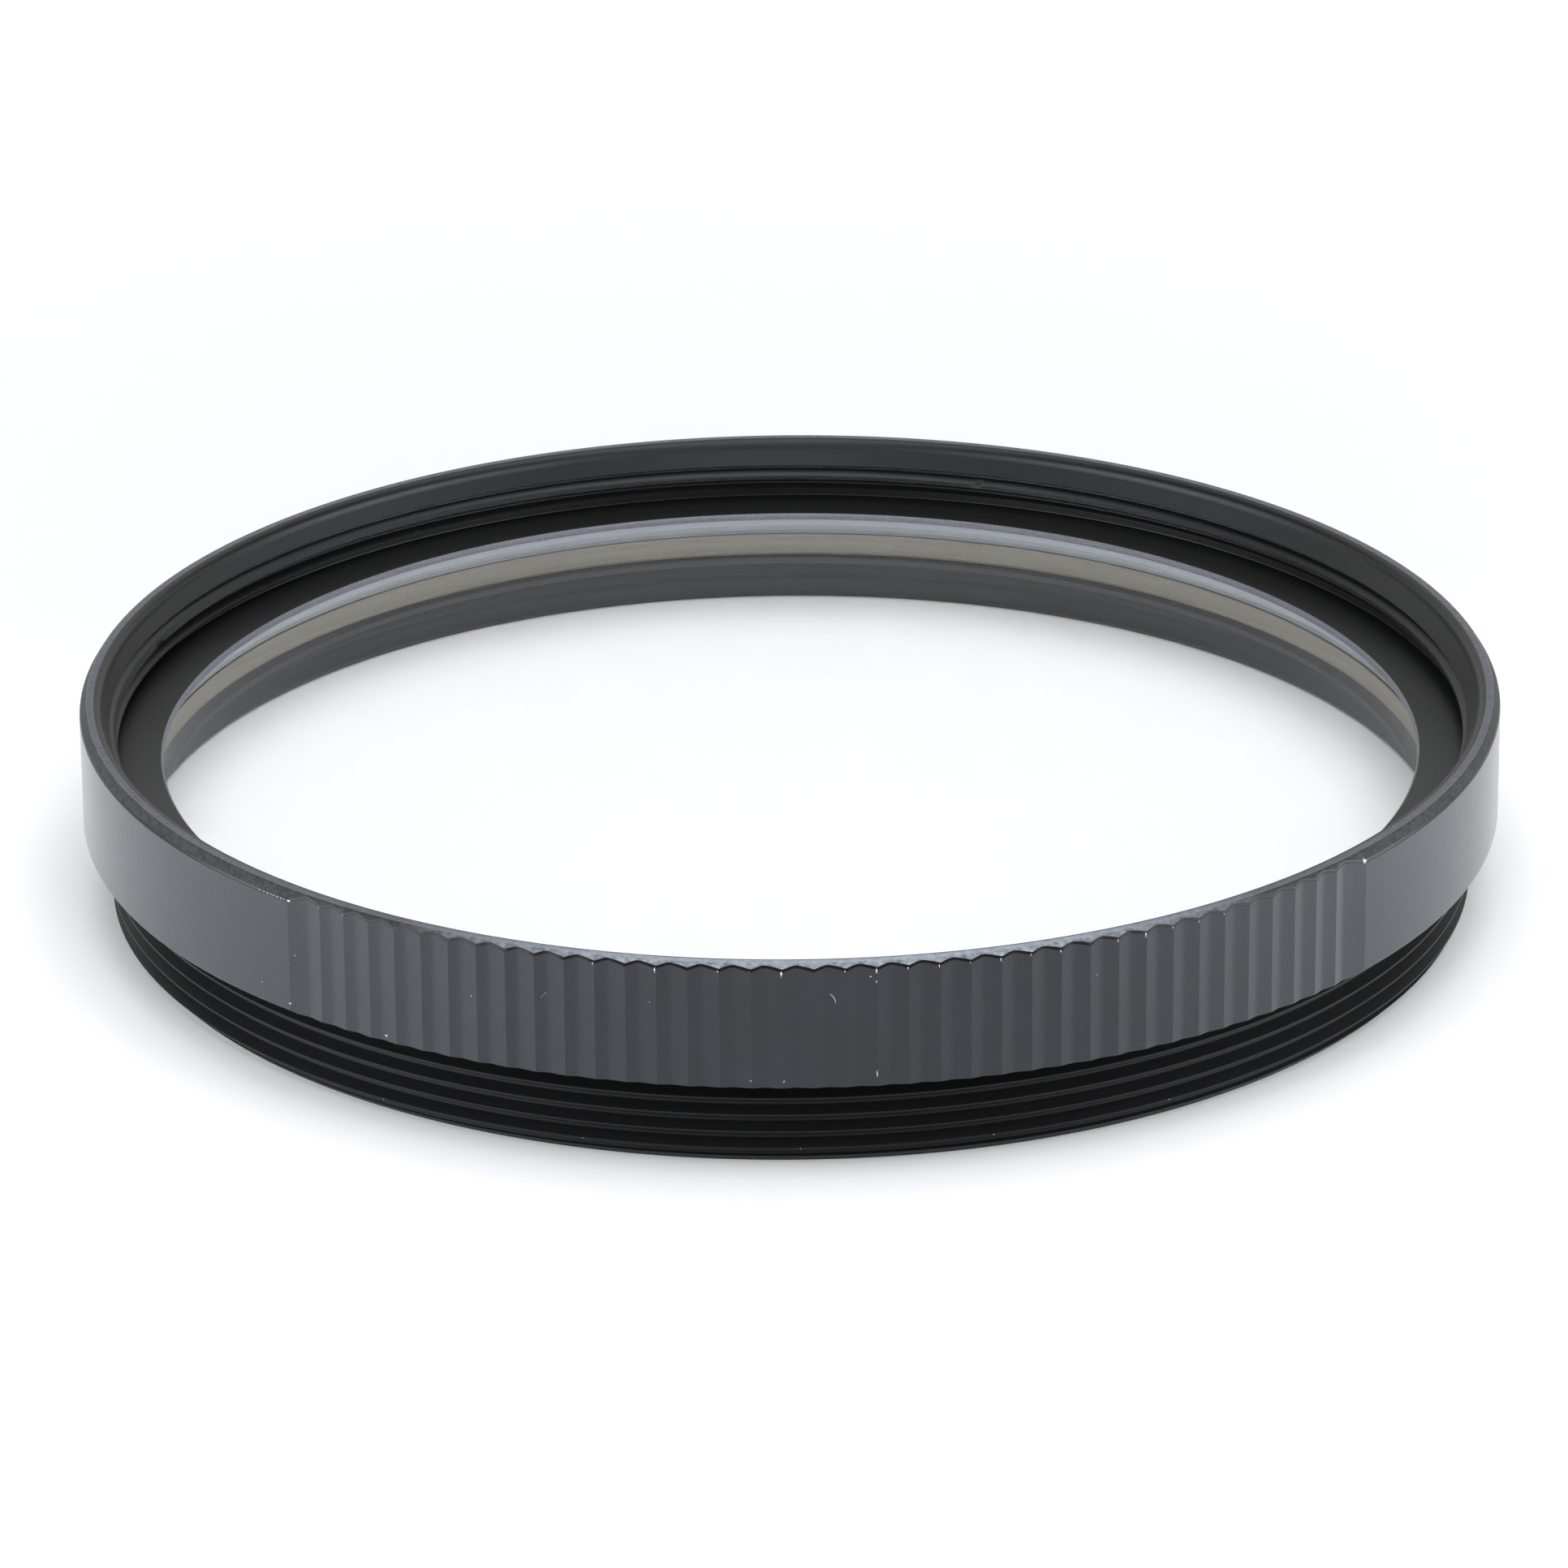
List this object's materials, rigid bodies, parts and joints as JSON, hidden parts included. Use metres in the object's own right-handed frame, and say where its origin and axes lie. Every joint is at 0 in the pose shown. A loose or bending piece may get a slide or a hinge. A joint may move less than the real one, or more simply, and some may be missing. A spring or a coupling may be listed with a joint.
{
  "type": "screw-in lens filter",
  "caption": "Round screw-in camera lens filter: thin ring with a male thread behind, a female thread in front, ridged grips, clear glass and a slotted retaining ring.",
  "frame": {"origin": "centre of the rear end face, on which the filter stands", "axes": "+Z along the filter's axis towards the front rim; the two grips are centred on -Y and +Y"},
  "size_m": [0.0624, 0.0622, 0.0096],
  "materials": {
    "black_anodised": "fine matte black anodised",
    "clear_glass": "polished faces, ground edge",
    "plain_aluminium": "dull, without a coating"
  },
  "bodies": {
    "root": {"filter_mount": "black_anodised", "glass_disc": "clear_glass", "retaining_ring": "plain_aluminium"}
  },
  "joints": []
}
